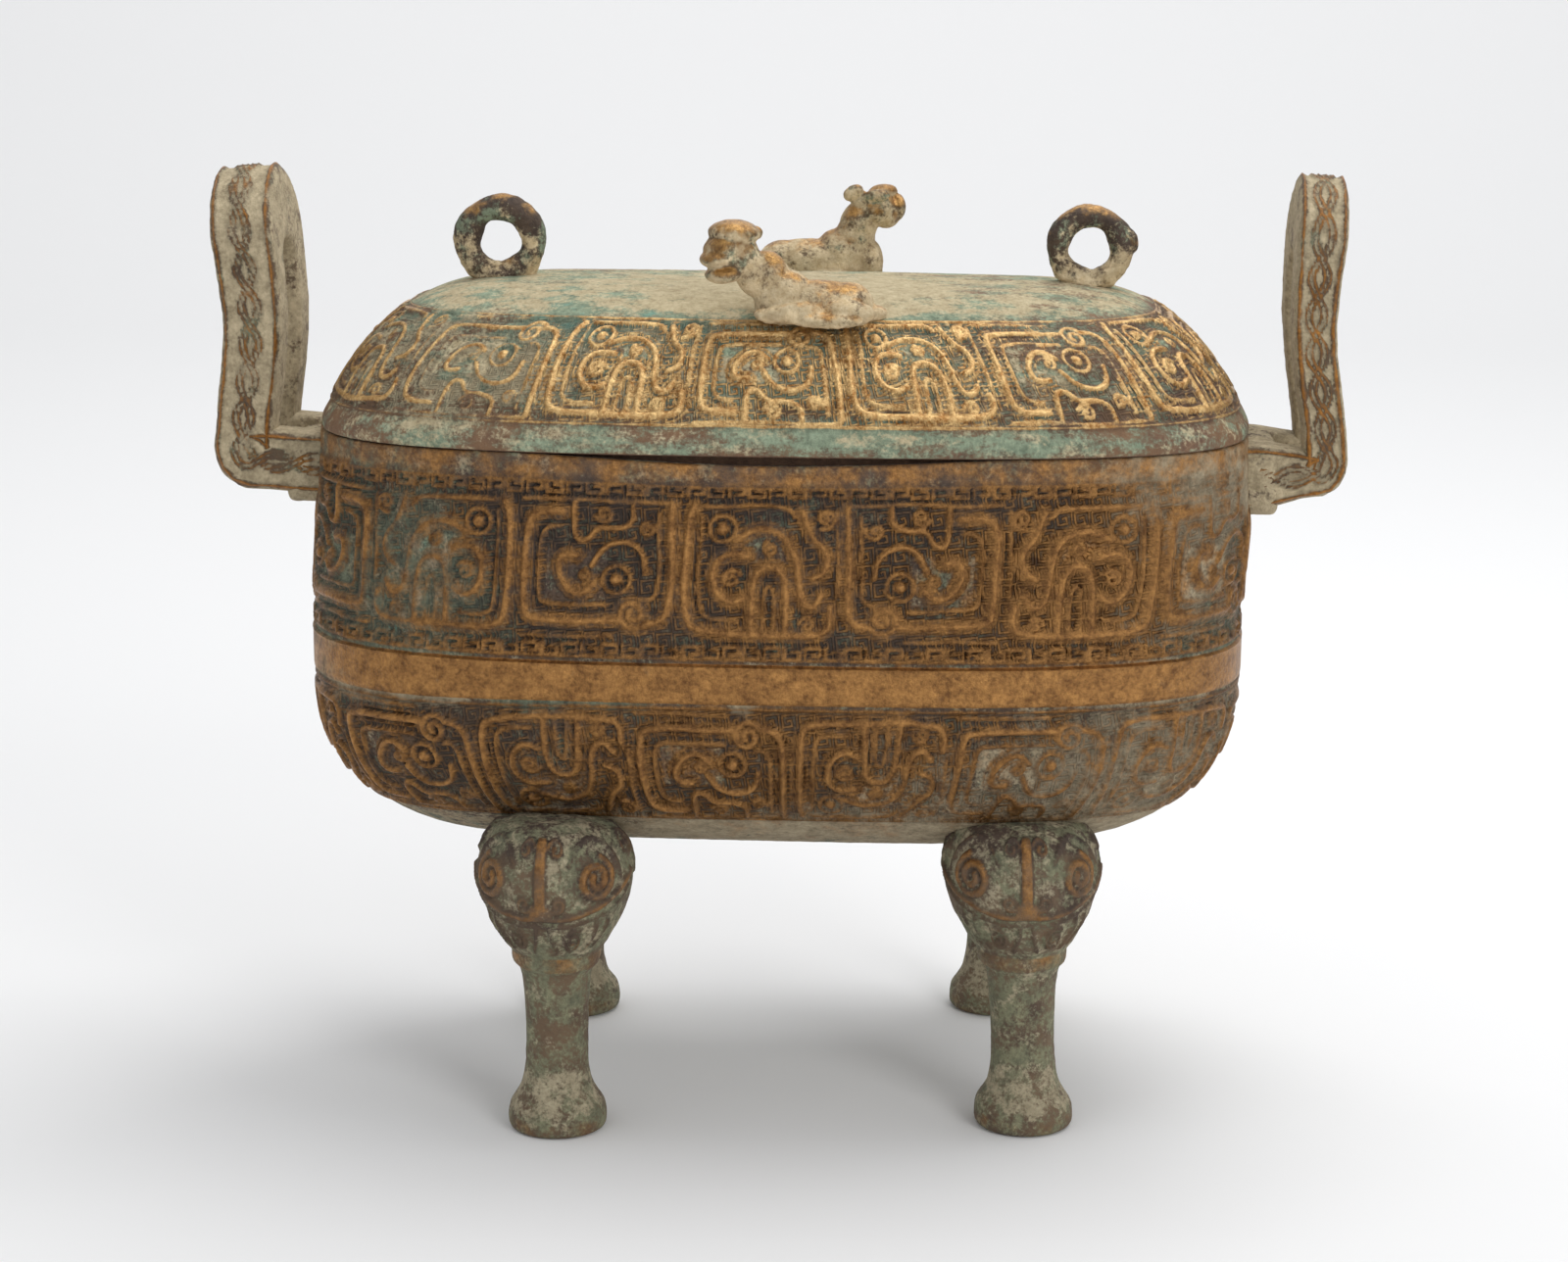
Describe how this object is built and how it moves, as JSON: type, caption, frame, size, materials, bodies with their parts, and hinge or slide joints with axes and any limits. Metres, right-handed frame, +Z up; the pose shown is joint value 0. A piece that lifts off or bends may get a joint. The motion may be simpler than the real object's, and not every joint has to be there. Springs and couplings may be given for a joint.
{
  "type": "gilt bronze covered pot",
  "caption": "Rounded rectangular bronze cauldron on masked legs, with slotted upright handles, relief belts and a lift-off domed lid with rings and lying beasts.",
  "frame": {"origin": "on the ground, under the middle of the pot's bounding box", "axes": "+Z up, +X along the length to the right handle as seen from the front, front faces -Y"},
  "size_m": [0.421, 0.2148, 0.3477],
  "materials": {
    "gilt_bronze_body": "cast bronze, worn gilding over brown and green patina",
    "gilt_bronze_lid": "cast bronze, bright worn gilding over green patina",
    "gilt_bronze_legs": "cast bronze, grey green patina with worn gilding",
    "patinated_bronze_handles": "cast bronze, beige green patina with gilt edges",
    "gilt_bronze_fittings": "cast bronze, gilding worn to the high points"
  },
  "bodies": {
    "root": {"pot_body": "gilt_bronze_body", "leg_front_left": "gilt_bronze_legs", "leg_front_right": "gilt_bronze_legs", "leg_back_left": "gilt_bronze_legs", "leg_back_right": "gilt_bronze_legs", "handle_left": "patinated_bronze_handles", "handle_right": "patinated_bronze_handles", "lid": "gilt_bronze_lid", "ring_left": "gilt_bronze_fittings", "ring_right": "gilt_bronze_fittings", "beast_front": "gilt_bronze_fittings", "beast_back": "gilt_bronze_fittings"}
  },
  "joints": []
}
